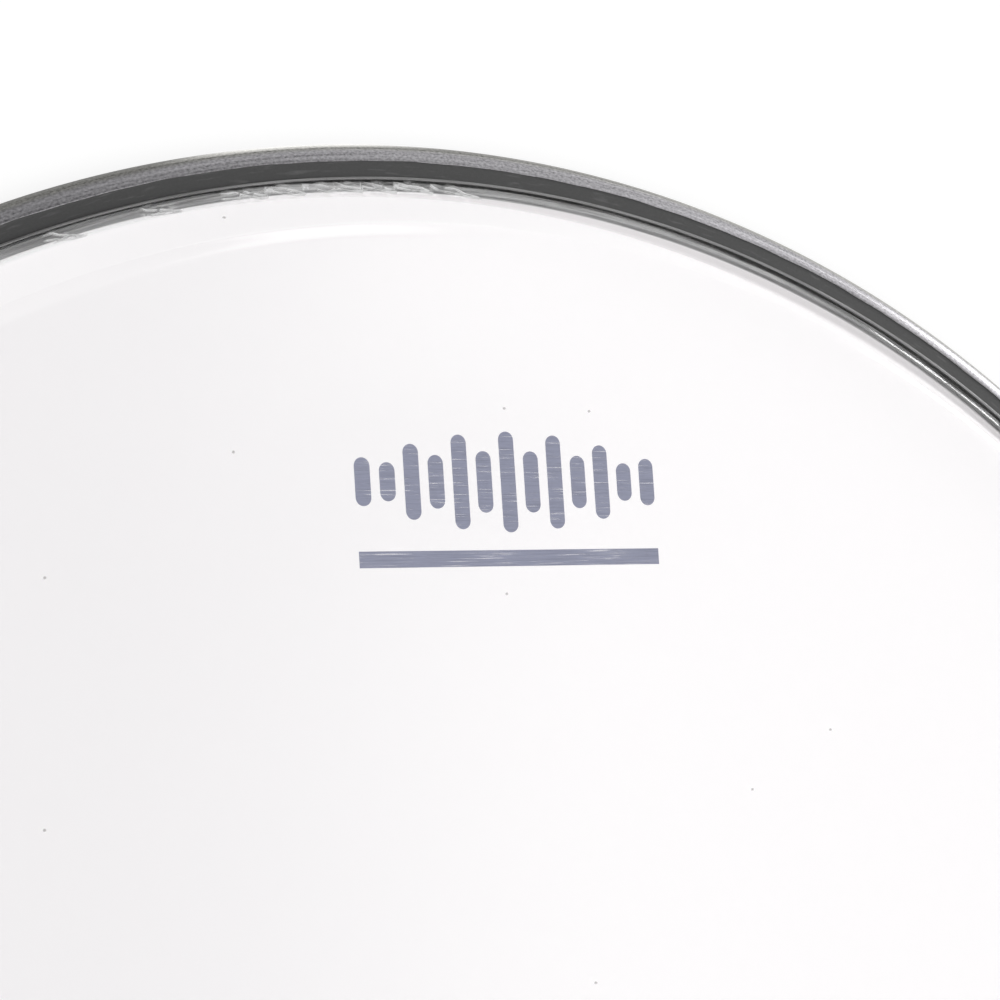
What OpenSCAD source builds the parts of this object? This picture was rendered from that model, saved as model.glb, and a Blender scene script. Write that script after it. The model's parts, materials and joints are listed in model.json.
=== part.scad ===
// Clear drumhead: a one-ply polyester film, formed with a collar and locked into a
// rolled aluminium hoop. The playing side faces +Z. The origin is on the hoop's axis,
// level with the underside of the hoop, and +Y points at the printed mark.
// Millimetres.

/* [Drum that it fits] */
// Outside diameter of the drum shell
shell_d = 355.6; // [254:0.2:406.4]
// Gap between the shell and the hoop, on the radius
shell_gap = 0.6; // [0.4:0.1:1.2]

/* [Hoop] */
// Width of the hoop, from its inner wall to its outer wall
hoop_w = 7.6; // [7.2:0.1:10]
// Height of the hoop, up to its rolled lip
hoop_h = 5.2; // [5:0.1:8]
// Thickness of the hoop's sheet
sheet_t = 0.8; // [0.6:0.05:0.9]
// Radius of the shoulder between the top and the outer wall
shoulder_r = 3.1; // [2.6:0.1:3.3]
// Drop from the rolled lip to the top of the shoulder
shoulder_drop = 0.45; // [0.3:0.05:0.6]
// Depth of the groove below the top of the shoulder
groove_step = 0.15; // [0.1:0.05:0.3]
// Height of the turned-down lip
lip_h = 1.8; // [1.5:0.1:1.9]
// Opening between the lip and the inner wall, where the film goes in
mouth_w = 0.8; // [0.7:0.05:1.2]
// Drop from the rolled lip to the top of the inner wall
inner_wall_drop = 1; // [0.8:0.05:1.4]
// Radius of the two bottom corners
corner_r = 0.4; // [0.2:0.05:0.6]
// Saw gap where the two ends of the hoop meet
seam_gap = 0.3; // [0.2:0.1:1]
// Direction of the seam, in degrees from +X
seam_dir = -90; // [-180:5:180]

/* [Film] */
// Thickness of the film
film_t = 0.25; // [0.18:0.01:0.35]
// Height of the playing surface above the underside of the hoop
play_h = 13.4; // [12:0.2:18]
// Slope of the collar, from the horizontal
collar_slope = 48; // [40:1:60]
// Bend radius where the collar meets the playing surface
crown_r = 4; // [2:0.5:6]
// Clearance between the film and the metal that it lies against
film_gap = 0.05; // [0.03:0.01:0.1]
// How far the film is hooked round the locking wire, in degrees
hook_turn = 150; // [90:10:170]

/* [Inside the hoop] */
// Diameter of the locking wire
wire_d = 1.8; // [1.4:0.1:2]
// Resin under the hooked film
bed_t = 0.1; // [0.1:0.05:0.3]
// Depth of the resin in the channel
resin_h = 1.8; // [1.4:0.1:2]
// Length of the key that joins the ends of the hoop
key_len = 40; // [20:1:60]
// Width of the joint key
key_w = 2.4; // [1.5:0.1:2.8]
// Height of the joint key
key_h = 1.5; // [1:0.1:1.8]

/* [Printed mark] */
// Distance from the axis to the middle of the mark
mark_y = 130.8; // [60:0.2:150]
// Turn of the mark on the film, in degrees
mark_turn = 3; // [-10:1:10]
// Number of upright bars
bars = 13; // [5:1:21]
// Width of a bar
bar_w = 2.5; // [1:0.1:3.5]
// Distance from bar to bar
bar_pitch = 4; // [3.8:0.1:6]
// Height of the tallest bar
bar_h = 15; // [8:0.5:20]
// Thickness of the rule under the bars
rule_w = 2.4; // [1:0.1:4]
// Space between the bars and the rule
rule_space = 2.6; // [1:0.1:5]
// Thickness of the ink
ink_t = 0.06; // [0.05:0.01:0.1]

/* [Hidden] */
$fn = 96;

// The hoop's own radii and heights
inner_r = shell_d / 2 + shell_gap;
outer_r = inner_r + hoop_w;
channel_in_r = inner_r + sheet_t;
channel_out_r = outer_r - sheet_t;
lip_r = channel_in_r + mouth_w;
bead_r = sheet_t / 2;
groove_in_r = lip_r + sheet_t;
groove_out_r = outer_r - shoulder_r;
shoulder_z = hoop_h - shoulder_drop;
groove_z = shoulder_z - groove_step;
inner_wall_z = hoop_h - inner_wall_drop;

// The film's path: middle of its thickness
root_r = channel_in_r + film_gap + film_t / 2;
root_bend_r = bead_r + film_gap + film_t / 2;
root_bend_z = inner_wall_z - bead_r;
crown_z = play_h - film_t / 2 - crown_r;
slope_len = (crown_z - root_bend_z + (crown_r - root_bend_r) * cos(collar_slope))
            / sin(collar_slope);
crown_in_r = root_r - root_bend_r - (crown_r - root_bend_r) * sin(collar_slope)
             - slope_len * cos(collar_slope);

// The locking wire lies in the hook of the film
hook_r = wire_d / 2 + film_gap + film_t / 2;
wire_r = root_r + hook_r;
wire_z = sheet_t + bed_t + film_t / 2 + hook_r;

// The key lies in the outer corner of the channel
key_out_r = channel_out_r - film_gap;
key_turn = key_len / key_out_r * 180 / PI;

// Points of an arc about [x, z], from angle a to angle b, in steps of about 9 degrees
function arc(x, z, r, a, b) =
    let (n = max(1, ceil(abs(b - a) / 9)))
    [for (i = [0 : n]) let (t = a + (b - a) * i / n) [x + r * cos(t), z + r * sin(t)]];

// One face of the film, s = 1 for the upper and outer one, -1 for the lower and inner one
function film_face(s) = concat(
    [[0, play_h - film_t / 2 + s * film_t / 2]],
    arc(crown_in_r, crown_z, crown_r + s * film_t / 2, 90, 90 - collar_slope),
    arc(root_r - root_bend_r, root_bend_z, root_bend_r + s * film_t / 2, 90 - collar_slope, 0),
    arc(wire_r, wire_z, hook_r - s * film_t / 2, 180, 180 + hook_turn));

function reversed(list) = [for (i = [len(list) - 1 : -1 : 0]) list[i]];

module film_section() {
    polygon(concat(film_face(1), reversed(film_face(-1))));
}

// One strip of sheet: inner wall, floor, outer wall, shoulder, groove and rolled lip
module hoop_section() {
    polygon(concat(
        arc(inner_r + corner_r, corner_r, corner_r, 180, 270),
        arc(outer_r - corner_r, corner_r, corner_r, 270, 360),
        arc(groove_out_r, shoulder_z - shoulder_r, shoulder_r, 0, 90),
        [[groove_out_r, groove_z], [groove_in_r, groove_z]],
        arc(lip_r + bead_r, hoop_h - bead_r, bead_r, 0, 180),
        [[lip_r, hoop_h - lip_h], [groove_in_r, hoop_h - lip_h],
         [groove_in_r, groove_z - sheet_t], [groove_out_r - groove_step, groove_z - sheet_t]],
        arc(groove_out_r, shoulder_z - shoulder_r, shoulder_r - sheet_t, 90, 0),
        [[channel_out_r, sheet_t], [channel_in_r, sheet_t]],
        arc(inner_r + bead_r, inner_wall_z - bead_r, bead_r, 0, 180)));
}

module flesh_hoop() {
    color("dimgray")
    difference() {
        rotate_extrude($fn = 360) hoop_section();
        rotate([0, 0, seam_dir])
            translate([inner_r - 1, -seam_gap / 2, -1])
                cube([hoop_w + 2, seam_gap, hoop_h + 2]);
    }
}

// A flat bar curved to the channel, that bridges the seam
module joint_key() {
    color("silver")
    rotate([0, 0, seam_dir - key_turn / 2])
        rotate_extrude(angle = key_turn, $fn = 360)
            translate([key_out_r - key_w, sheet_t]) square([key_w, key_h]);
}

module locking_wire() {
    color("gainsboro")
    rotate_extrude($fn = 360)
        translate([wire_r, wire_z]) circle(d = wire_d);
}

module resin_fill() {
    color("darkkhaki")
    difference() {
        rotate_extrude($fn = 360)
            difference() {
                translate([root_r, sheet_t]) square([channel_out_r - root_r, resin_h]);
                film_section();
                translate([wire_r, wire_z]) circle(r = hook_r);
            }
        joint_key();
    }
}

module film() {
    color("whitesmoke", 0.35)
    rotate_extrude($fn = 360) film_section();
}

// An upright bar with round ends, standing on y = 0
module bar(h) {
    translate([0, bar_w / 2]) circle(d = bar_w, $fn = 48);
    translate([-bar_w / 2, bar_w / 2]) square([bar_w, h - bar_w]);
    translate([0, h - bar_w / 2]) circle(d = bar_w, $fn = 48);
}

// Height of bar i: a swell to the middle, with every second bar shorter
function bar_height(i) =
    bar_h * (0.4 + 0.6 * sin(180 * (i + 0.5) / bars)) * (i % 2 == 0 ? 1 : 0.62);

module ink_mark() {
    mark_w = (bars - 1) * bar_pitch + bar_w;
    mark_h = rule_w + rule_space + bar_h;
    color("slategray")
    translate([0, mark_y, play_h])
        rotate([0, 0, mark_turn])
            translate([-mark_w / 2, -mark_h / 2, 0])
                linear_extrude(ink_t) {
                    square([mark_w, rule_w]);
                    for (i = [0 : bars - 1])
                        translate([bar_w / 2 + i * bar_pitch,
                                   rule_w + rule_space + (bar_h - bar_height(i)) / 2])
                            bar(bar_height(i));
                }
}

flesh_hoop();
joint_key();
locking_wire();
resin_fill();
film();
ink_mark();
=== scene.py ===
"""A clear drumhead: a round sheet of clear polyester film with a formed collar, locked into a
rolled grey aluminium hoop. The playing side faces up and the printed mark is towards +Y.

Sizes are in metres. A piece is a section carried round the drumhead's axis: each point of the
section is (distance from the axis, height), and the piece's points are that section turned to
every angle round the axis. A named pair of values is a range, from the one to the other.
"""
import json
import math

import bpy
import numpy as np
from mathutils import Matrix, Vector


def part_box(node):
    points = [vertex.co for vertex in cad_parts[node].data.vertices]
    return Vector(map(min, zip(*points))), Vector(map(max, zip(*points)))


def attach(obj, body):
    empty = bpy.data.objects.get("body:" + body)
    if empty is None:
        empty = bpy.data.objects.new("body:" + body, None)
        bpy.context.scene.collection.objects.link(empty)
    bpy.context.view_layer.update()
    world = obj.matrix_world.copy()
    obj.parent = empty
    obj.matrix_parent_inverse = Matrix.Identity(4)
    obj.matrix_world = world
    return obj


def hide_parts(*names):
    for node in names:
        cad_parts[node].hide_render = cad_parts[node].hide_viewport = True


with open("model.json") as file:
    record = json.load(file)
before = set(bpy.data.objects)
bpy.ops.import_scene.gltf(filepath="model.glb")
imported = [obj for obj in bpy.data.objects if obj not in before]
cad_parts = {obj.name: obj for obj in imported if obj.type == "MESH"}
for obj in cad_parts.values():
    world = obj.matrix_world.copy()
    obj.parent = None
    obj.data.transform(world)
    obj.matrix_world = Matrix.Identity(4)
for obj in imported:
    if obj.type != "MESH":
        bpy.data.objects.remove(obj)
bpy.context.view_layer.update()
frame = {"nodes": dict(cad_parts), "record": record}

MM = 0.001


# ---------------------------------------------------------------------------------------------
# Camera. It looks down at the +Y side of the head from the left, close enough that only a
# stretch of the hoop and the mark are in view.
# ---------------------------------------------------------------------------------------------
VIEW_TURN = math.radians(195.9)
VIEW_RISE = math.radians(60.0)
VIEW_ROLL = math.radians(-1.08)
VIEW_DISTANCE = 0.445
VIEW_AIM = np.array([0.0036, 0.132, 0.0041])
LENS_MM = 106.2
SENSOR_MM = 36.0


def add_camera():
    """The camera's axes are: back, from the aim to the eye, then right, square to back and to +Y,
    then up, square to both, and last the roll turns right and up about back."""
    back = np.array([math.cos(VIEW_RISE) * math.cos(VIEW_TURN),
                     math.cos(VIEW_RISE) * math.sin(VIEW_TURN),
                     math.sin(VIEW_RISE)])
    right = np.cross([0.0, 1.0, 0.0], back)
    right /= np.linalg.norm(right)
    up = np.cross(back, right)
    c, s = math.cos(VIEW_ROLL), math.sin(VIEW_ROLL)
    right, up = c * right + s * up, c * up - s * right
    eye = VIEW_AIM + back * VIEW_DISTANCE
    data = bpy.data.cameras.new("camera")
    data.sensor_width = SENSOR_MM
    data.lens = LENS_MM
    data.clip_start = 0.01
    data.clip_end = 50.0
    camera = bpy.data.objects.new("camera", data)
    bpy.context.scene.collection.objects.link(camera)
    matrix = np.eye(4)
    matrix[:3, 0], matrix[:3, 1], matrix[:3, 2], matrix[:3, 3] = right, up, back, eye
    camera.matrix_world = Matrix(matrix.tolist())
    bpy.context.scene.camera = camera


add_camera()


# ---------------------------------------------------------------------------------------------
# The hoop: a strip of sheet aluminium rolled into a channel and bent round into a ring. Its
# outer leg is rounded over the top, has a flat groove for the counterhoop, and ends in a rolled
# lip that grips the film against the inner leg. Its ends meet in a fine seam.
# ---------------------------------------------------------------------------------------------
SHEET_T = 0.8 * MM
SHOULDER_R = 3.1 * MM
SHOULDER_DROP = 0.45 * MM
GROOVE_STEP = 0.15 * MM
LIP_H = 1.8 * MM
LIP_EDGE_T = 0.45 * MM
MOUTH_W = 0.8 * MM
INNER_LEG_DROP = 1.0 * MM
LEG_EDGE_R = 0.14 * MM
CORNER_R = 0.4 * MM
EASE = 0.03 * MM
EDGE_BREAK = np.array([[0.06, -0.004], [0.01, -0.035]]) * MM
HOOP_WANDER = 0.03 * MM
EDGE_WANDER = 0.09 * MM
EDGE_REACH = 0.07 * MM
SEAM_GAP = 0.3 * MM
SEAM_DIR = math.radians(-90.0)
HOOP_TURNS = 960

mount = {m["name"]: m for m in frame["record"]["mounts"]}
inner_r = mount["shell_bore"]["dims"]["r_mm"] * MM
outer_r = mount["hoop_rim"]["dims"]["r_mm"] * MM
hoop_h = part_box("flesh_hoop")[1].z
lip_r = inner_r + SHEET_T + MOUTH_W
groove_in_r = lip_r + SHEET_T
groove_out_r = outer_r - SHOULDER_R
shoulder_z = hoop_h - SHOULDER_DROP
groove_z = shoulder_z - GROOVE_STEP
inner_leg_z = hoop_h - INNER_LEG_DROP
bead_r = SHEET_T / 2
lip_bead_r = LIP_EDGE_T / 2


def arc(x, z, r, a, b, n):
    """n + 1 points on a circle of radius r about (x, z), evenly spaced from angle a to b."""
    t = np.radians(np.linspace(a, b, n + 1))
    return np.stack([x + r * np.cos(t), z + r * np.sin(t)], 1)


def line(x0, z0, x1, z1, n):
    """n points evenly spaced from (x0, z0) towards (x1, z1), without the last."""
    t = np.arange(n)[:, None] / n
    return np.array([[x0, z0]]) * (1 - t) + np.array([[x1, z1]]) * t


def ripple(turn, waves, seed):
    """A smooth wander round the ring, from -1 to 1: a sum of sines of the given numbers of waves
    a turn, each with a fixed phase, divided by how many there are."""
    phases = np.random.default_rng(seed).uniform(0, 2 * np.pi, len(waves))
    return sum(np.sin(n * turn + p) for n, p in zip(waves, phases)) / len(waves)


def build_piece(name, grid, closed_turns, closed_section, end_caps=False, poles=()):
    """A mesh from grid[turn, point] = (x, y, z): every four neighbouring points make a face. If
    closed_turns the last turn joins the first, an end cap is the whole section at the first or
    last turn, and a pole is a point that a fan of triangles joins to the section's first or last
    point at every turn."""
    turns, points = grid.shape[:2]
    index = np.arange(turns * points).reshape(turns, points)
    a = index if closed_turns else index[:-1]
    b = np.roll(index, -1, 0) if closed_turns else index[1:]
    if closed_section:
        a2, b2 = np.roll(a, -1, 1), np.roll(b, -1, 1)
    else:
        a, a2, b, b2 = a[:, :-1], a[:, 1:], b[:, :-1], b[:, 1:]
    faces = np.stack([a, b, b2, a2], -1).reshape(-1, 4).tolist()
    corners = grid.reshape(-1, 3)
    if end_caps:
        faces += [index[0].tolist(), index[-1][::-1].tolist()]
    if len(poles):
        pole = np.full(turns, turns * points)
        first, last = index[:, 0], index[:, -1]
        faces += np.stack([pole, np.roll(first, -1), first], 1).tolist()
        faces += np.stack([pole + 1, last, np.roll(last, -1)], 1).tolist()
        corners = np.concatenate([corners, poles])
    mesh = bpy.data.meshes.new(name)
    mesh.from_pydata(corners.tolist(), [], faces)
    mesh.shade_smooth()
    piece = bpy.data.objects.new(name, mesh)
    bpy.context.scene.collection.objects.link(piece)
    return piece


def point_attribute(piece, name, values):
    """Stores one number for each point of the piece, for its material to read."""
    attribute = piece.data.attributes.new(name, "FLOAT", "POINT")
    attribute.data.foreach_set("value", np.ascontiguousarray(values, np.float32).ravel())


def hoop_section():
    """The outline of the sheet, anticlockwise from the inner leg's bottom corner: floor, outer
    wall, shoulder, groove, lip, then back along the inside of the channel. The lip is rolled
    thinner than the sheet, and two points break the shoulder's edge over the groove. Each run of
    points comes with the name of the surface it is on."""
    inside_r = SHOULDER_R - SHEET_T
    centre_z = shoulder_z - SHOULDER_R
    lip_out_r = lip_r + LIP_EDGE_T
    leg_out_r = inner_r + SHEET_T
    edge_z = inner_leg_z - LEG_EDGE_R
    runs = [
        # The inner bottom corner is counted with the leg, so it takes the leg's painted reflection too.
        ("leg", arc(inner_r + CORNER_R, CORNER_R, CORNER_R, 180, 250, 4)),
        ("outside", arc(outer_r - CORNER_R, CORNER_R, CORNER_R, 270, 360, 4)),
        ("outside", arc(groove_out_r, centre_z, SHOULDER_R, 0, 86, 20)),
        ("outside", EDGE_BREAK + [[groove_out_r, shoulder_z]]),
        ("groove", np.array([[groove_out_r, groove_z + EASE * 2 / 3]])),
        ("groove", line(groove_out_r - EASE, groove_z, lip_out_r + EASE * 2, groove_z, 6)),
        ("groove", np.array([[lip_out_r + EASE, groove_z + EASE / 3]])),
        ("lip", arc(lip_r + lip_bead_r, hoop_h - lip_bead_r, lip_bead_r, 0, 180, 12)),
        ("mouth", np.array([[lip_r, hoop_h - LIP_H], [groove_in_r, hoop_h - LIP_H],
                            [groove_in_r, groove_z - SHEET_T],
                            [groove_out_r - GROOVE_STEP, groove_z - SHEET_T]])),
        ("mouth", arc(groove_out_r, centre_z, inside_r, 90, 0, 8)),
        ("mouth", np.array([[outer_r - SHEET_T, SHEET_T], [leg_out_r, SHEET_T]])),
        ("leg_top", arc(leg_out_r - LEG_EDGE_R, edge_z, LEG_EDGE_R, 0, 90, 4)),
        ("leg_top", arc(inner_r + LEG_EDGE_R, edge_z, LEG_EDGE_R, 90, 180, 4)),
        ("leg", line(inner_r, edge_z - 0.6 * LEG_EDGE_R, inner_r, CORNER_R, 3)),
    ]
    points = np.concatenate([p for _, p in runs])
    surface = np.concatenate([[name] * len(p) for name, p in runs])
    return points, surface


def build_hoop():
    """The section turned about the axis, from one side of the seam round to the other. Rolling
    leaves it very slightly wavy, so the radius wanders by a few hundredths of a millimetre, and
    the groove's outer edge by a little more."""
    points, surface = hoop_section()
    half_seam = SEAM_GAP / 2 / outer_r
    turn = SEAM_DIR + np.linspace(half_seam, 2 * np.pi - half_seam, HOOP_TURNS)
    wander_r = HOOP_WANDER * ripple(turn, (3, 7, 12), 1)
    wander_edge = EDGE_WANDER * ripple(turn, (31, 57, 90, 143), 2)
    beside = np.abs(points[:, 0] - groove_out_r) < EDGE_REACH
    edge = beside & (points[:, 1] > groove_z - EDGE_REACH)
    r = points[None, :, 0] + wander_r[:, None] + wander_edge[:, None] * edge[None, :]
    z = np.repeat(points[None, :, 1], HOOP_TURNS, 0)
    grid = np.stack([r * np.cos(turn)[:, None], r * np.sin(turn)[:, None], z], -1)
    hoop = build_piece("hoop", grid, False, True, end_caps=True)
    across = np.concatenate([[0], np.cumsum(np.linalg.norm(np.diff(points, axis=0), axis=1))])
    point_attribute(hoop, "around", np.repeat(turn[:, None] * outer_r, len(points), 1))
    point_attribute(hoop, "across", np.repeat(across[None, :], HOOP_TURNS, 0))
    for name in ("groove", "lip", "leg", "leg_top", "mouth"):
        on = (surface == name).astype(float)
        point_attribute(hoop, name, np.repeat(on[None, :], HOOP_TURNS, 0))
    hoop.data.set_sharp_from_angle(angle=math.radians(35))
    return hoop


class Shader:
    """Fills the node tree of a new material or world and links its nodes by socket name."""

    def __init__(self, owner, output="OutputMaterial"):
        self.owner = owner
        owner.use_nodes = True
        self.tree = owner.node_tree
        self.tree.nodes.clear()
        self.output = self.add(output)

    def add(self, kind, inputs=None, **settings):
        """A node of that kind. A value in inputs is a number, a colour or another node's
        output socket."""
        node = self.tree.nodes.new("ShaderNode" + kind)
        for key, value in settings.items():
            setattr(node, key, value)
        for key, value in (inputs or {}).items():
            self.feed(node.inputs[key], value)
        return node

    def feed(self, socket, value):
        """Links the socket to the value where that is another node's output, or else sets it."""
        if isinstance(value, bpy.types.NodeSocket):
            self.tree.links.new(value, socket)
        else:
            socket.default_value = value

    def math(self, operation, a, b=0.0, clamp=False):
        """One sum of the two values, or of the first alone."""
        node = self.add("Math", {0: a, 1: b}, operation=operation, use_clamp=clamp)
        return node.outputs[0]

    def ramp(self, value, low, high, to_low=0.0, to_high=1.0, curve="LINEAR"):
        """to_low where value is below low, to_high above high, and between them a straight line
        or, where curve is SMOOTHSTEP, a smooth one."""
        node = self.add("MapRange", {"Value": value, "From Min": low, "From Max": high,
                                     "To Min": to_low, "To Max": to_high}, interpolation_type=curve)
        return node.outputs[0]

    def blend(self, factor, a, b):
        """Colour a where factor is 0 and colour b where it is 1."""
        node = self.tree.nodes.new("ShaderNodeMix")
        node.data_type = "RGBA"
        self.feed(node.inputs[0], factor)
        self.feed(node.inputs[6], a)
        self.feed(node.inputs[7], b)
        return node.outputs[2]

    def number(self, name):
        """The attribute that point_attribute stored under that name."""
        return self.add("Attribute", attribute_name=name).outputs["Fac"]

    def noise(self, x, y, z, detail, roughness=0.5):
        """Noise at three coordinates that are already scaled."""
        place = self.add("CombineXYZ", {0: x, 1: y, 2: z}).outputs[0]
        node = self.add("TexNoise", {"Vector": place, "Scale": 1.0, "Detail": detail,
                                     "Roughness": roughness})
        return node.outputs["Fac"]

    def finish(self, shader):
        """The material or world, with its surface linked to the shader's output."""
        self.feed(self.output.inputs["Surface"], shader)
        return self.owner


def grey(value, tint=(1.0, 1.0, 1.0)):
    """A linear colour of that brightness, with a slight tint."""
    return (value * tint[0], value * tint[1], value * tint[2], 1.0)


STREAKS = {"per_metre": 2600.0, "squash": 110.0, "layer": 0.0, "detail": 3.0}
BANDS = {"per_metre": 900.0, "squash": 80.0, "layer": 3.0, "detail": 2.0}
GRAIN = {"per_metre": 3000.0, "squash": 1.6, "layer": 9.0, "detail": 2.0}
SMEARS = {"per_metre": 1500.0, "squash": 8.0, "layer": 5.0, "detail": 3.0}
SCORES = {"per_metre": 9000.0, "squash": 120.0, "layer": 7.0, "detail": 3.0}
ALUMINIUM = 0.36
STREAK_SHADE, BAND_SHADE, GRAIN_SHADE = 0.09, 0.07, 0.15
SHOULDER_TOP = 0.72, 0.86
# The shoulder's two tints, blended by which way the surface faces, are a painted reflection of coloured
# surroundings.
SHOULDER_INNER_REFLECTION_TINT, SHOULDER_OUTER_REFLECTION_TINT = grey(1.0, (0.98, 0.96, 1.0)), grey(1.0, (1.0, 0.985, 0.93))
# The groove's dark base grey is painted shade for the dark its flat face mirrors; the lighter grey is
# glue smears.
GROOVE_SHADE_AND_SMEAR_GREYS = grey(0.11), grey(0.16)
LIP_GREYS = grey(0.18), grey(0.34)
LEG_TOP_GREYS = grey(0.24), grey(0.62)
# The inner leg's face, the same aluminium, is painted near white: a painted reflection of the bright
# floor inside the hoop.
LEG_PAINTED_REFLECTION_GREY = grey(0.92, (1.0, 0.985, 0.99))
# The inside of the mouth, the same aluminium, is painted pale: painted light that lifts the shade in the
# gap between lip and film.
MOUTH_LIFTED_SHADE_GREY = grey(0.75)
METAL_ROUGH, GROOVE_ROUGHER = (0.3, 0.42), 0.25


def hoop_metal():
    """Satin grey rolled aluminium. Streaks run along the hoop: noise whose coordinates are the
    distance round the hoop, squashed many times, and the distance across the sheet. A fine grain
    is laid over them. The shoulder's outer half is tinted warmer and its inner half cooler, by
    which way it faces: a painted reflection of coloured surroundings. The groove is painted
    darker, as painted shade for the dark it mirrors, with lighter glue smears. The lip and the
    inner leg's top are scored bright by the rolling. The inner leg's face is painted near white,
    a painted reflection of the bright floor, and the inside of the mouth is painted pale, which
    lifts the shade in it."""
    s = Shader(bpy.data.materials.new("hoop_metal"))
    around, across = s.number("around"), s.number("across")

    def along_hoop(per_metre, squash, layer, detail):
        """Noise at per_metre across the sheet, and squash times fewer round the hoop."""
        return s.noise(s.math("MULTIPLY", around, per_metre / squash),
                       s.math("MULTIPLY", across, per_metre), layer, detail)

    streak, band, grain = along_hoop(**STREAKS), along_hoop(**BANDS), along_hoop(**GRAIN)
    facing = s.add("SeparateXYZ", {0: s.add("TexCoord").outputs["Normal"]}).outputs[2]
    shade = s.math("ADD", s.ramp(streak, 0.3, 0.7, -STREAK_SHADE, STREAK_SHADE),
                   s.ramp(band, 0.3, 0.7, -BAND_SHADE, BAND_SHADE))
    shade = s.math("ADD", shade, s.ramp(grain, 0.25, 0.75, -GRAIN_SHADE, GRAIN_SHADE))
    base = s.math("ADD", shade, ALUMINIUM)
    # Painted reflection tint: warmer where the shoulder faces sideways, cooler where it faces up.
    outside = s.blend(s.ramp(facing, *SHOULDER_TOP), SHOULDER_OUTER_REFLECTION_TINT, SHOULDER_INNER_REFLECTION_TINT)
    smear = s.ramp(along_hoop(**SMEARS), 0.58, 0.75)
    score = s.ramp(along_hoop(**SCORES), 0.35, 0.65)
    # Scored and smeared greys, with painted shade, painted reflection and painted light on the groove,
    # inner leg and mouth.
    surface_greys_and_painted_light = {
        # Groove: painted shade, with lighter glue smears.
        "groove": s.blend(smear, *GROOVE_SHADE_AND_SMEAR_GREYS),
        "lip": s.blend(score, *LIP_GREYS),
        "leg_top": s.blend(score, *LEG_TOP_GREYS),
        # Inner leg: painted reflection of the bright floor.
        "leg": LEG_PAINTED_REFLECTION_GREY,
        # Mouth: painted light lifting its shade.
        "mouth": MOUTH_LIFTED_SHADE_GREY,
    }
    colour = s.add("VectorMath", {0: outside, "Scale": base}, operation="SCALE").outputs[0]
    for name, finish in surface_greys_and_painted_light.items():
        colour = s.blend(s.number(name), colour, finish)
    rough = s.math("ADD", s.ramp(grain, 0.2, 0.8, *METAL_ROUGH),
                   s.math("MULTIPLY", s.number("groove"), GROOVE_ROUGHER))
    bump = s.add("Bump", {"Strength": 0.3, "Distance": 0.03 * MM, "Height": grain})
    metal = s.add("BsdfPrincipled", {"Base Color": colour, "Metallic": 1.0, "Roughness": rough,
                                     "Normal": bump.outputs[0]})
    return s.finish(metal.outputs[0])


hoop = build_hoop()
hoop.data.materials.append(hoop_metal())
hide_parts("flesh_hoop")
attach(hoop, "root")


# ---------------------------------------------------------------------------------------------
# What is shut inside the hoop: a flat aluminium key that bridges the seam, the drawn steel wire
# that the film is hooked round, and the brown resin that is poured in to set them.
# ---------------------------------------------------------------------------------------------
def inner_finish(name, colour, metallic, rough, streak_scale):
    """A plain finish with streaks along the hoop: noise over the angle about the axis, the
    distance from the axis and the height."""
    s = Shader(bpy.data.materials.new(name))
    place = s.add("TexCoord").outputs["Object"]
    axis = s.add("SeparateXYZ", {0: place})
    x, y, z = axis.outputs[0], axis.outputs[1], axis.outputs[2]
    turn = s.math("ARCTAN2", y, x)
    radius = s.math("SQRT", s.math("ADD", s.math("MULTIPLY", x, x), s.math("MULTIPLY", y, y)))
    streak = s.noise(s.math("MULTIPLY", turn, 9.0), s.math("MULTIPLY", radius, streak_scale),
                     s.math("MULTIPLY", z, streak_scale), 4.0)
    lighter = tuple(1.35 * c for c in colour) + (1.0,)
    darker = tuple(0.65 * c for c in colour) + (1.0,)
    tone = s.blend(s.ramp(streak, 0.3, 0.7), darker, lighter)
    bump = s.add("Bump", {"Strength": 0.3, "Distance": 0.05 * MM, "Height": streak})
    body = s.add("BsdfPrincipled", {"Base Color": tone, "Metallic": metallic,
                                    "Roughness": s.ramp(streak, 0.3, 0.7, rough, rough + 0.15),
                                    "Normal": bump.outputs[0]})
    return s.finish(body.outputs[0])


INNER_FINISHES = {
    "joint_key": inner_finish("mill_aluminium", (0.55, 0.55, 0.56), 1.0, 0.32, 2500.0),
    "locking_wire": inner_finish("drawn_wire", (0.4, 0.4, 0.4), 1.0, 0.28, 4000.0),
    "resin_fill": inner_finish("cast_resin", (0.1, 0.085, 0.06), 0.0, 0.25, 900.0),
}
for node_name, finish in INNER_FINISHES.items():
    mesh = frame["nodes"][node_name].data
    mesh.materials.clear()
    mesh.materials.append(finish)


# ---------------------------------------------------------------------------------------------
# The film: clear polyester, heat-formed flat in the middle with a sloping collar, then folded
# over the inner leg, hooked round the wire and set in resin. The small pleats at the mouth are
# where the round sheet had to gather to go in.
# ---------------------------------------------------------------------------------------------
FILM_T = 0.25 * MM
COLLAR_SLOPE = 48.0
CROWN_R = 4.0 * MM
FILM_GAP = 0.05 * MM
WIRE_D = 1.8 * MM
RESIN_BED = 0.1 * MM
HOOK_TURN = 150.0
FOOT_SLOPE = 25.0
FOOT_RISE = 1.1 * MM
FOOT_BEND_R = 1.1 * MM
MOUTH_BEND_R = 0.42 * MM
MOUTH_LINE = 0.09 * MM
HOOK_LEAD = 0.2 * MM
FILM_TURNS = 880
CLOSEST_TURNS = 0.1 * MM
CROWDED_PLEATS = (112.3, 107.3, 103.2, 102.2, 100.4, 98.4, 97.0, 95.4, 93.6, 91.4)
PLEATS = 30
PLEATS_FROM, PLEATS_TO = math.radians(124), math.radians(415)
GROUP_SHIFT, GROUP_WAVES = 0.05, 9
PLEAT_STEPS = 20
PLEAT_SPAN = -5.5 * MM, 2.5 * MM
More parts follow.
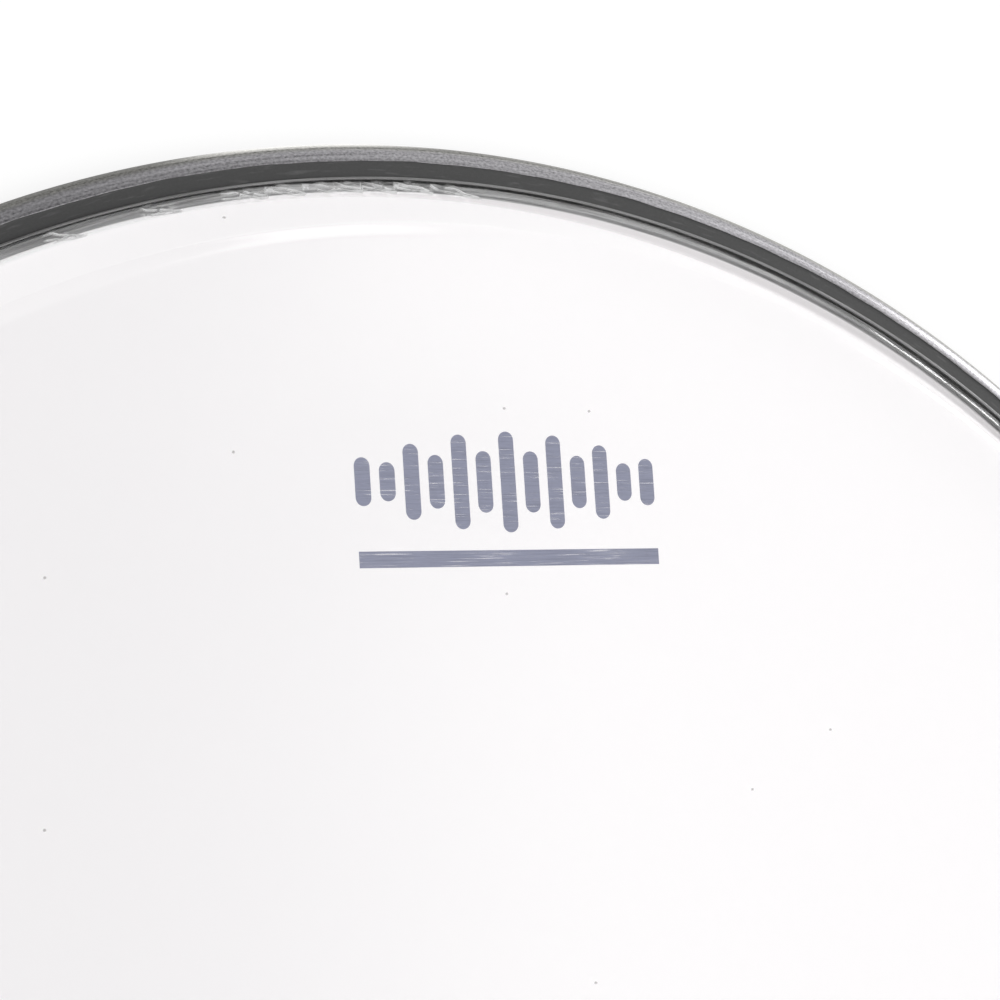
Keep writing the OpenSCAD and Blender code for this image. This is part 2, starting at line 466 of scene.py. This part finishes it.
PLEAT_WIDTH = 0.45 * MM, 0.8 * MM
PLEAT_LEAN = 0.8, 2.6
PLEAT_HEIGHT = 0.14 * MM, 0.3 * MM
PLEAT_CLIMB = 1.0 * MM, 1.9 * MM
PLEAT_FOOT = 0.4 * MM
GATHER, GATHER_CLIMB = 0.05 * MM, 1.2 * MM
FILM_PUSH = -0.05 * MM, 0.4 * MM
PLEATED_MIDDLE, PLEATED_WIDTH = -1.6 * MM, 1.9 * MM

play_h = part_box("film")[1].z
root_r = inner_r + SHEET_T + FILM_GAP + FILM_T / 2
root_bend_r = bead_r + FILM_GAP + FILM_T / 2
root_bend_z = inner_leg_z - bead_r
hook_r = WIRE_D / 2 + FILM_GAP + FILM_T / 2
wire_r = root_r + hook_r
wire_z = SHEET_T + RESIN_BED + FILM_T / 2 + hook_r


def rounded(corners, radii, steps):
    """The corners joined by straight lines, with an arc of the given radius and steps in place of
    each inner corner: the arc touches both lines at radius * tan(half the turn) from it."""
    runs = [corners[0][None, :]]
    for before, corner, after, radius, count in zip(corners, corners[1:], corners[2:], radii, steps):
        go = (corner - before) / np.linalg.norm(corner - before)
        leave = (after - corner) / np.linalg.norm(after - corner)
        bend = go[0] * leave[1] - go[1] * leave[0]
        half = math.atan2(abs(bend), float(go @ leave)) / 2
        side = math.copysign(1.0, bend) * np.array([-go[1], go[0]])
        start = corner - go * radius * math.tan(half)
        sweep = np.linspace(0, 2 * half, count + 1)[:, None]
        runs.append(start + radius * (np.sin(sweep) * go + (1 - np.cos(sweep)) * side))
    return np.concatenate(runs + [corners[-1][None, :]])


def between(start, end, shares):
    """Points on the straight from start to end, at those shares of its length."""
    return start + (end - start) * np.array(shares)[:, None]


def film_line():
    """The middle of the film's thickness from the head's middle outwards: flat, crown, collar,
    then a gentler foot over the inner leg, the bend into the mouth, the skirt and the hook. The
    long straights have points between their ends. Also which point is the bend's middle."""
    slope, foot_slope = math.radians(COLLAR_SLOPE), math.radians(FOOT_SLOPE)
    flat_z = play_h - FILM_T / 2
    foot = np.array([root_r - root_bend_r * (1 - math.sin(slope)) - FOOT_RISE * math.cos(slope),
                     root_bend_z + root_bend_r * math.cos(slope) + FOOT_RISE * math.sin(slope)])
    crown = foot + (flat_z - foot[1]) / math.sin(slope) * np.array([-math.cos(slope), math.sin(slope)])
    mouth_r = lip_r - FILM_T / 2 - MOUTH_LINE
    mouth = np.array([mouth_r, foot[1] - (mouth_r - foot[0]) * math.tan(foot_slope)])
    corners = np.array([[0.0, flat_z], crown, foot, mouth, [root_r, wire_z + HOOK_LEAD]])
    steps = (6, 3, 4)
    path = rounded(corners, (CROWN_R, FOOT_BEND_R, MOUTH_BEND_R), steps)
    middle, bend_1, bend_2, rest = np.split(path, np.cumsum([1, steps[0] + 1, steps[1] + 1]))
    flat = between(corners[0], crown, (0.5, 0.9))
    collar = between(bend_1[-1], bend_2[0], (0.45, 0.8))
    over_leg = between(bend_2[-1], rest[0], (0.33, 0.67))
    hook = arc(wire_r, wire_z, hook_r, 180, 180 + HOOK_TURN, 4)
    above = np.concatenate([middle, flat, bend_1, collar, bend_2, over_leg])
    return np.concatenate([above, rest, hook]), len(above) + steps[2] // 2


def pleat_places():
    """Where the pleats are round the hoop: a crowd of them near the mark's end of the head, and
    the rest in loose groups, which a slow sine round the ring gathers."""
    draw = np.random.default_rng(7)
    rest = draw.uniform(PLEATS_FROM, PLEATS_TO, PLEATS)
    return np.concatenate([np.radians(CROWDED_PLEATS), rest + GROUP_SHIFT * np.sin(GROUP_WAVES * rest)])


def film_turns(places):
    """The angles that the film is built at: even steps all the way round, with closer steps
    over the few millimetres that each pleat takes up."""
    even = np.linspace(0, 2 * np.pi, FILM_TURNS, endpoint=False)
    spread = np.linspace(*PLEAT_SPAN, PLEAT_STEPS) / root_r
    close = (places[:, None] + spread[None, :]).ravel() % (2 * np.pi)
    turns = np.sort(np.concatenate([even, close]))
    return turns[np.concatenate([[True], np.diff(turns) > CLOSEST_TURNS / root_r])]


def pleat_height(turn, along, places):
    """How far the film stands off its plain shape. Each pleat is a narrow ridge with a hollow
    beside it that sets off along the hoop as it climbs, a * exp(-((t + lean * s) / w)^2), where
    t is the distance round the hoop from the pleat and s the distance up the film from the
    mouth, and it fades out with s. Between the pleats the film is gathered a little too, by a
    slow wander round the ring."""
    draw = np.random.default_rng(11)
    height = np.zeros((len(turn), len(along)))
    for place in places:
        width, lean = draw.uniform(*PLEAT_WIDTH), draw.uniform(*PLEAT_LEAN)
        amount, reach = draw.uniform(*PLEAT_HEIGHT), draw.uniform(*PLEAT_CLIMB)
        t = (np.angle(np.exp(1j * (turn - place))) * root_r)[:, None]
        fade = np.exp(-(np.maximum(along, 0) / reach) ** 2)[None, :]
        ridge = np.exp(-((t + lean * along[None, :]) / width) ** 2)
        hollow = np.exp(-((t + lean * along[None, :] - 1.5 * width) / width) ** 2)
        height += amount * fade * (ridge - 0.6 * hollow)
    wander = GATHER * (1 + ripple(turn, (41, 67, 103), 5))[:, None]
    return height + wander * np.exp(-(along / GATHER_CLIMB) ** 2)[None, :]


def build_film():
    """Both faces of the film turned about the axis as one closed skin, half a thickness to each
    side of its middle line. Above the mouth the pleats move the two faces together, square to
    the film."""
    middle, mouth_point = film_line()
    tangent = np.gradient(middle, axis=0)
    tangent /= np.linalg.norm(tangent, axis=1, keepdims=True)
    outward = np.stack([-tangent[:, 1], tangent[:, 0]], 1)
    outward[0] = (0.0, 1.0)
    lengths = np.concatenate([[0], np.cumsum(np.linalg.norm(np.diff(middle, axis=0), axis=1))])
    along = lengths[mouth_point] - lengths
    places = pleat_places()
    turn = film_turns(places)
    push = pleat_height(turn, along, places)
    push[:, along < -PLEAT_FOOT] = 0
    push = np.clip(push, *FILM_PUSH)
    faces = []
    for side in (1, -1):
        off = push + side * FILM_T / 2
        r = middle[None, :, 0] + off * outward[None, :, 0]
        z = middle[None, :, 1] + off * outward[None, :, 1]
        faces.append(np.stack([r * np.cos(turn)[:, None], r * np.sin(turn)[:, None], z], -1))
    grid = np.concatenate([faces[1][:, 1:], faces[0][:, :0:-1]], 1)
    film = build_piece("film_skin", grid, True, False, poles=(faces[1][0, 0], faces[0][0, 0]))
    apart = np.angle(np.exp(1j * (turn[:, None] - places[None, :]))) * root_r
    pleated = np.exp(-((apart - PLEATED_MIDDLE) / PLEATED_WIDTH) ** 2).sum(1).clip(0, 1)
    nearest = np.take_along_axis(apart, np.abs(apart).argmin(1)[:, None], 1)[:, 0]
    shape = (len(turn), grid.shape[1])
    climb = np.concatenate([along[1:], along[:0:-1]])[None, :]
    for name, values, at_poles in (("climb", climb, along[0]),
                                   ("around", turn[:, None] * root_r, 0),
                                   ("pleated", pleated[:, None], 0),
                                   ("off_pleat", nearest[:, None], 1)):
        point_attribute(film, name, np.append(np.broadcast_to(values, shape), [at_poles] * 2))
    film.data.set_sharp_from_angle(angle=math.radians(60))
    return film


CREASE_ZONE_FOOT, CREASE_ZONE_TOP = (-0.1 * MM, 0.2 * MM), (2.2 * MM, 2.8 * MM)
CREASE_CLIMB = 0.7 * MM, 1.5 * MM
CREASE_LEAN = 0.28
CREASE_HALF_LONG, CREASE_HALF_WIDE = 3.3 * MM, 0.45 * MM
RUN_CLIMB = 1.1 * MM, 2.1 * MM
RUN_EDGES = 0.07 * MM, 0.18 * MM
# The scuffs reach below the mouth into its bend; their white there is painted light that lifts the shade
# in the mouth.
SCUFF_AND_LIFTED_SHADE_FOOT, SCUFF_TOP = (-0.4 * MM, 0.1 * MM), (0.8 * MM, 2.0 * MM)
SCUFF_AND_LIFTED_SHADE_WHITE = 0.02, 0.48
SHAKE = {"round_hoop": 420.0, "up_film": 900.0, "layer": 0.0, "detail": 1.0}
CREASE_WANDER = {"round_hoop": 150.0, "up_film": 0.0, "layer": 2.0, "detail": 1.0}
CREASE_BREAKS = {"round_hoop": 700.0, "up_film": 1500.0, "layer": 3.0, "detail": 1.0}
RUN_WANDER = {"round_hoop": 260.0, "up_film": 0.0, "layer": 5.0, "detail": 2.0}
SCUFFS = {"round_hoop": 50.0, "up_film": 4500.0, "layer": 8.0, "detail": 3.0}
SWELL_PER_METRE, SWELL_SHARE = 9.0, 0.3
FILM_ROUGH = 0.11
# The white on the creases is partly folded film and partly painted highlight on the pleats' edges.
CREASE_AND_GLINT_WHITE = grey(0.93)
BOTH_FACES_IOR = 2.0
SHADED_FOOT_TOP = 2.3 * MM, 2.9 * MM
# The second tint, greyer, is painted shade at the foot of the collar.
FILM_TINT, FOOT_SHADE_TINT = (0.986, 0.978, 0.982, 1.0), (0.92, 0.92, 0.922, 1.0)
LIGHT_LET_BY = (0.94, 0.935, 0.94, 1.0)
DUST_PER_METRE = 70.0
DUST_EDGE = 0.009, 0.017
DUST_KEPT = 0.89, 0.9
DUST_GREY = (0.5, 0.49, 0.48, 1.0)


def clear_film():
    """Clear glossy polyester: light goes straight through, apart from what the sheet mirrors,
    which grows as the view gets flatter. The face that light enters by mirrors for both faces.
    At the foot of the collar what is seen through the film is painted a little greyer, as painted
    shade. The gathered film is painted white along its creases, partly as folded film and partly as
    painted highlights on the pleats' edges: each pleat has the outline of a long tilted ellipse,
    u^2 + v^2 = 1 shaken and broken by noise, and a wandering line joins pleats that are close
    together. All round, the film is scuffed white along the hoop where it goes in, and that white
    reaches into the bend at the mouth as painted light that lifts the shade there. Dust lies at the
    middle of about one Voronoi cell in ten."""
    s = Shader(bpy.data.materials.new("clear_film"))
    place = s.add("TexCoord").outputs["Object"]
    around, climb, off = s.number("around"), s.number("climb"), s.number("off_pleat")

    def on_film(round_hoop, up_film, layer, detail):
        """Noise at those numbers a metre, round the hoop and up the film."""
        return s.noise(s.math("MULTIPLY", around, round_hoop),
                       s.math("MULTIPLY", climb, up_film), layer, detail)

    shake, wander = on_film(**SHAKE), on_film(**CREASE_WANDER)
    tilt = s.math("ADD", s.math("SUBTRACT", climb, s.ramp(wander, 0.3, 0.7, *CREASE_CLIMB)),
                  s.math("MULTIPLY", off, CREASE_LEAN))
    u, v = s.math("DIVIDE", off, CREASE_HALF_LONG), s.math("DIVIDE", tilt, CREASE_HALF_WIDE)
    ring = s.math("ADD", s.math("MULTIPLY", u, u), s.math("MULTIPLY", v, v))
    ring = s.math("ADD", ring, s.ramp(shake, 0.2, 0.8, -1.1, 0.5))
    hook = s.ramp(s.math("ABSOLUTE", s.math("SUBTRACT", ring, 1.0)), 0.35, 0.85, 1.0, 0.0)
    hook = s.math("MULTIPLY", hook, s.ramp(on_film(**CREASE_BREAKS), 0.3, 0.42))
    hook = s.math("MULTIPLY", hook, s.ramp(s.number("pleated"), 0.02, 0.15))
    run = s.math("SUBTRACT", climb, s.ramp(on_film(**RUN_WANDER), 0.3, 0.7, *RUN_CLIMB))
    run = s.ramp(s.math("ABSOLUTE", run), *RUN_EDGES, 0.8, 0.0)
    run = s.math("MULTIPLY", run, s.ramp(s.number("pleated"), 0.3, 0.8))
    scuff_and_lifted_shade = s.ramp(on_film(**SCUFFS), 0.4, 0.6, *SCUFF_AND_LIFTED_SHADE_WHITE)
    scuff_and_lifted_shade = s.math("MULTIPLY", scuff_and_lifted_shade, s.ramp(climb, *SCUFF_TOP, 1.0, 0.0))
    # Below the mouth the scuffs' white is painted light lifting the mouth's shade.
    scuff_and_lifted_shade = s.math("MULTIPLY", scuff_and_lifted_shade, s.ramp(climb, *SCUFF_AND_LIFTED_SHADE_FOOT))
    zone = s.math("MULTIPLY", s.ramp(climb, *CREASE_ZONE_FOOT), s.ramp(climb, *CREASE_ZONE_TOP, 1.0, 0.0))
    # White marks: creases that are partly painted highlight, and scuffs that are partly painted light
    # lifting the mouth's shade.
    creases_scuffs_and_painted_light = s.math("MAXIMUM", s.math("MULTIPLY", s.math("MAXIMUM", hook, run), zone), scuff_and_lifted_shade)
    swell = s.add("TexNoise", {"Vector": place, "Scale": SWELL_PER_METRE, "Detail": 1.0})
    ridge = s.math("MULTIPLY", s.math("MULTIPLY", shake, zone), s.number("pleated"))
    height = s.math("ADD", s.math("MULTIPLY", swell.outputs["Fac"], SWELL_SHARE), ridge)
    bump = s.add("Bump", {"Strength": 0.4, "Distance": 0.6 * MM, "Height": height})
    mirror = s.add("Fresnel", {"IOR": BOTH_FACES_IOR, "Normal": bump.outputs[0]})
    back = s.add("NewGeometry").outputs["Backfacing"]
    mirror = s.math("MULTIPLY", mirror.outputs[0], s.math("SUBTRACT", 1.0, back))
    # Painted shade: the see-through colour is greyer at the collar's foot.
    foot = s.ramp(climb, *SHADED_FOOT_TOP, 1.0, 0.0)
    tint = s.blend(foot, FILM_TINT, FOOT_SHADE_TINT)
    through = s.add("BsdfTransparent", {"Color": tint})
    gloss = s.add("BsdfAnisotropic", {"Color": grey(1.0), "Roughness": FILM_ROUGH,
                                      "Normal": bump.outputs[0]})
    clear = s.add("MixShader", {0: mirror, 1: through.outputs[0], 2: gloss.outputs[0]})
    # White creases, partly painted highlight on the pleats' edges.
    white = s.add("BsdfDiffuse", {"Color": CREASE_AND_GLINT_WHITE})
    clear_with_white_marks_and_painted_light = s.add("MixShader", {0: s.math("MULTIPLY", creases_scuffs_and_painted_light, 0.95), 1: clear.outputs[0],
                                  2: white.outputs[0]})
    cells = s.add("TexVoronoi", {"Vector": place, "Scale": DUST_PER_METRE}, voronoi_dimensions="2D")
    near = s.ramp(cells.outputs["Distance"], *DUST_EDGE, 1.0, 0.0)
    chance = s.add("SeparateColor", {0: cells.outputs["Color"]}).outputs[0]
    few = s.ramp(chance, *DUST_KEPT)
    speck = s.math("MULTIPLY", s.math("MULTIPLY", near, few), 0.55)
    dust = s.add("BsdfDiffuse", {"Color": DUST_GREY})
    mixed = s.add("MixShader", {0: speck, 1: clear_with_white_marks_and_painted_light.outputs[0], 2: dust.outputs[0]})
    lets_light_by = s.add("BsdfTransparent", {"Color": LIGHT_LET_BY})
    shadow = s.add("LightPath").outputs["Is Shadow Ray"]
    whole = s.add("MixShader", {0: shadow, 1: mixed.outputs[0], 2: lets_light_by.outputs[0]})
    return s.finish(whole.outputs[0])


film = build_film()
film.data.materials.append(clear_film())
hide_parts("film")
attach(film, "root")


# ---------------------------------------------------------------------------------------------
# The printed mark: plain bars over a rule in one pass of blue-grey ink, drawn through a screen.
# The screen leaves fine lighter lines along the mark.
# ---------------------------------------------------------------------------------------------
MARK_TURN = math.radians(3.0)
INK = (0.288, 0.301, 0.402)
DEEP_INK = tuple(0.86 * c for c in INK) + (1.0,)
PALE_INK = tuple(1.25 * c for c in INK) + (1.0,)


def screen_ink():
    """Thin matt ink. Its streaks are noise that is nearly 50 times longer along the mark than
    across it, and where they are lightest the ink is thin enough to see through a little."""
    s = Shader(bpy.data.materials.new("screen_ink"))
    place = s.add("TexCoord").outputs["Object"]
    level = s.add("Mapping", {"Vector": place, "Rotation": (0.0, 0.0, -MARK_TURN)}).outputs[0]
    axis = s.add("SeparateXYZ", {0: level})
    x, y = axis.outputs[0], axis.outputs[1]
    fine = s.noise(s.math("MULTIPLY", x, 110.0), s.math("MULTIPLY", y, 5200.0), 0.0, 3.0, 0.6)
    patch = s.noise(s.math("MULTIPLY", x, 260.0), s.math("MULTIPLY", y, 420.0), 4.0, 3.0)
    thin = s.math("ADD", s.ramp(fine, 0.56, 0.66, 0.0, 0.7), s.ramp(patch, 0.55, 0.8, 0.0, 0.15))
    tone = s.blend(s.ramp(fine, 0.3, 0.65), DEEP_INK, PALE_INK)
    solid = s.math("SUBTRACT", 1.0, thin, clamp=True)
    ink = s.add("BsdfPrincipled", {"Base Color": tone, "Roughness": 0.55, "Alpha": solid})
    return s.finish(ink.outputs[0])


ink_mesh = frame["nodes"]["ink_mark"].data
ink_mesh.materials.clear()
ink_mesh.materials.append(screen_ink())


# ---------------------------------------------------------------------------------------------
# The stage: a plain white floor under a white sky that is dark overhead and has a tall bright
# strip with a dim patch beside it, and one large soft lamp.
# ---------------------------------------------------------------------------------------------
FLOOR_HALF = 4.0
FLOOR_Z = -0.1 * MM
FLOOR_GREY = grey(0.3)
FLOOR_GLOW = 0.79
MIRRORED_INSIDE = 0.88
DIM_SIDE_X, BRIGHT_SIDE_X = -30.0 * MM, 50.0 * MM
MIRRORED_OUTSIDE = 0.3, 0.85
# A painted glow spot on the floor just behind the rim, seen only in reflections; no lamp or object stands
# there.
GLOW_SPOT = (-9.5 * MM, 188.0 * MM, 0.0)
GLOW_SPOT_SQUASH = (0.35, 1.0, 1.0)
GLOW_SPOT_EDGE = 4.0 * MM, 9.0 * MM
GLOW_SPOT_STRENGTH = 1.6


def white_floor():
    """White matt floor. To the eye and through clear film it also glows a little, so that it
    reads as white, and it still takes the object's shadow. Gloss alone sees a further painted
    glow on it: bright inside the hoop, dimmer outside towards -X, and brightest at a small glowing
    spot close behind the rim, where no lamp stands. The spot is an oval: all that is near its
    middle once X is squashed."""
    s = Shader(bpy.data.materials.new("white_floor"))
    rays = s.add("LightPath")
    seen = s.math("MAXIMUM", rays.outputs["Is Camera Ray"], rays.outputs["Is Transmission Ray"])
    place = s.add("TexCoord").outputs["Object"]
    reach = s.add("VectorMath", {0: place}, operation="LENGTH").outputs["Value"]
    across = s.add("SeparateXYZ", {0: place}).outputs[0]
    outside = s.ramp(across, DIM_SIDE_X, BRIGHT_SIDE_X, *MIRRORED_OUTSIDE)
    # Painted glow spot, seen only by gloss.
    squashed = s.add("VectorMath", {0: place, 1: GLOW_SPOT_SQUASH}, operation="MULTIPLY").outputs[0]
    glow_spot_reach = s.add("VectorMath", {0: squashed, 1: GLOW_SPOT}, operation="DISTANCE").outputs["Value"]
    outside = s.math("ADD", outside, s.ramp(glow_spot_reach, *GLOW_SPOT_EDGE, GLOW_SPOT_STRENGTH, 0.0))
    inside = s.ramp(reach, inner_r, outer_r, 1.0, 0.0)
    mirrored = s.math("ADD", s.math("MULTIPLY", inside, MIRRORED_INSIDE),
                      s.math("MULTIPLY", s.math("SUBTRACT", 1.0, inside), outside))
    mirrored = s.math("MULTIPLY", rays.outputs["Is Glossy Ray"], mirrored)
    matt = s.add("BsdfDiffuse", {"Color": FLOOR_GREY})
    seen = s.math("MULTIPLY", seen, FLOOR_GLOW)
    glow = s.add("Emission", {"Strength": s.math("MAXIMUM", seen, mirrored)})
    both = s.add("AddShader", {0: matt.outputs[0], 1: glow.outputs[0]})
    return s.finish(both.outputs[0])


floor_mesh = bpy.data.meshes.new("floor")
floor_mesh.from_pydata([(-FLOOR_HALF, -FLOOR_HALF, FLOOR_Z), (FLOOR_HALF, -FLOOR_HALF, FLOOR_Z),
                        (FLOOR_HALF, FLOOR_HALF, FLOOR_Z), (-FLOOR_HALF, FLOOR_HALF, FLOOR_Z)],
                       [], [(0, 1, 2, 3)])
floor = bpy.data.objects.new("floor", floor_mesh)
bpy.context.scene.collection.objects.link(floor)
floor_mesh.materials.append(white_floor())


WALL = 1.35
OVERHEAD_EDGE, OVERHEAD_DARK = (0.85, 0.94), 0.03
DIM_TURN, DIM_RISE, DIM_BY = 88.0, 32.0, 0.95
DIM_EDGE, DIM_SIDE = (0.5, 0.66), (-0.13, 0.02)
STRIP_TURN, STRIP_RISE, STRIP_BY = 164.0, 17.0, 1.35
STRIP_MIDDLE, STRIP_SIDES = 0.045, (0.05, 0.12)
STRIP_TOP, STRIP_FOOT = (0.68, 0.86), (-0.02, 0.25)
LAMP_TURN, LAMP_RISE = 18.5, 11.5
LAMP_DISTANCE = 2.5
LAMP_W, LAMP_H = 1.8, 0.8
LAMP_RADIANCE = 6.5


def direction(turn, rise):
    """The unit vector at that angle round from +X and that angle up, both in degrees."""
    turn, rise = math.radians(turn), math.radians(rise)
    return (math.cos(rise) * math.cos(turn), math.cos(rise) * math.sin(turn), math.sin(rise))


def add_sky():
    """A studio that is white all round and falls to black overhead, with a tall bright strip and
    a broad dim patch beside it. The strip is where a direction is nearly square to the strip's
    pole, and the dim patch is where it is on the pole's side and near the patch's own middle.
    Each edge is a smooth step of the cosine of such an angle. The eye sees plain white."""
    s = Shader(bpy.data.worlds.new("studio"), "OutputWorld")
    way = s.add("TexCoord").outputs["Generated"]
    height = s.add("SeparateXYZ", {0: way}).outputs[2]

    def soft_step(value, edge, to_low, to_high):
        """A smooth step from to_low to to_high, over the values that edge gives."""
        return s.ramp(value, *edge, to_low, to_high, curve="SMOOTHSTEP")

    def toward(turn, rise):
        """The cosine of the angle between the way looked and that direction."""
        dot = s.add("VectorMath", {0: way, 1: direction(turn, rise)}, operation="DOT_PRODUCT")
        return dot.outputs["Value"]

    overhead = soft_step(height, OVERHEAD_EDGE, 1.0, OVERHEAD_DARK)
    pole = toward(STRIP_TURN, STRIP_RISE)
    dim = s.math("MULTIPLY", soft_step(pole, DIM_SIDE, 0.0, DIM_BY),
                 soft_step(toward(DIM_TURN, DIM_RISE), DIM_EDGE, 0.0, 1.0))
    off_middle = s.math("ABSOLUTE", s.math("SUBTRACT", pole, STRIP_MIDDLE))
    strip = soft_step(off_middle, STRIP_SIDES, STRIP_BY, 0.0)
    strip = s.math("MULTIPLY", strip, soft_step(height, STRIP_TOP, 1.0, 0.0))
    strip = s.math("MULTIPLY", strip, soft_step(height, STRIP_FOOT, 0.0, 1.0))
    walls = s.math("MULTIPLY", s.math("SUBTRACT", WALL, dim), overhead)
    light = s.math("MAXIMUM", s.math("ADD", walls, strip),
                   s.add("LightPath").outputs["Is Camera Ray"])
    sky = s.add("Background", {"Strength": light})
    bpy.context.scene.world = s.finish(sky.outputs[0])


def add_lamp():
    """A wide soft lamp that faces the drumhead from the right, low down. A lamp's power is pi
    times its brightness times its area."""
    data = bpy.data.lights.new("soft_lamp", "AREA")
    data.shape = "RECTANGLE"
    data.size = LAMP_W
    data.size_y = LAMP_H
    data.energy = math.pi * LAMP_RADIANCE * LAMP_W * LAMP_H
    lamp = bpy.data.objects.new("soft_lamp", data)
    bpy.context.scene.collection.objects.link(lamp)
    back = np.array(direction(LAMP_TURN, LAMP_RISE))
    right = np.cross([0.0, 0.0, 1.0], back)
    right /= np.linalg.norm(right)
    matrix = np.eye(4)
    matrix[:3, 0], matrix[:3, 1], matrix[:3, 2] = right, np.cross(back, right), back
    matrix[:3, 3] = back * LAMP_DISTANCE
    lamp.matrix_world = Matrix(matrix.tolist())


add_sky()
add_lamp()

scene = bpy.context.scene
scene.view_settings.view_transform = "Standard"
scene.cycles.transparent_max_bounces = 24
